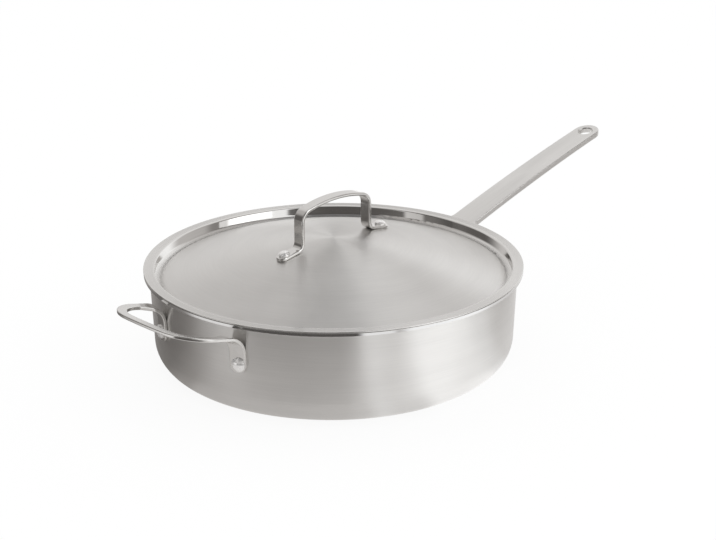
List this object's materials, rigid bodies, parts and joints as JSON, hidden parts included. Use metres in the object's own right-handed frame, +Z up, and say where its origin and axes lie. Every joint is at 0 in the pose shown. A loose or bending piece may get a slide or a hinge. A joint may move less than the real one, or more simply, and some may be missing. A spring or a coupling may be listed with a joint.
{
  "type": "saute pan with lid",
  "caption": "Straight-sided clad steel saute pan with a flared lip, riveted long handle and looped helper handle, and a lift-off domed lid with a strap handle.",
  "frame": {"origin": "middle of the flat base, on the surface that the pan stands on", "axes": "+X towards the tip of the long handle, the helper handle on -X, +Z up"},
  "size_m": [0.5124, 0.293, 0.1308],
  "materials": {
    "outer_skin": "brushed round the wall",
    "core": "cut edge",
    "inner_skin": "brushed in circles",
    "long_handle": "brushed lengthwise",
    "helper_handle": "satin",
    "lid": "brushed in circles",
    "lid_handle": "polished",
    "rivets": "polished"
  },
  "bodies": {
    "pan": {"pan_outer_skin": "outer_skin", "pan_core": "core", "pan_inner_skin": "inner_skin", "long_handle": "long_handle", "long_handle_rivets": "rivets", "helper_handle": "helper_handle", "helper_rivets": "rivets"},
    "lid": {"lid": "lid", "lid_handle": "lid_handle", "lid_rivets": "rivets"}
  },
  "joints": [
    {"name": "lid_lift", "type": "slide", "parent": "pan", "child": "lid", "axis": [0, 0, 1], "range_m": [0, 0.12]}
  ]
}
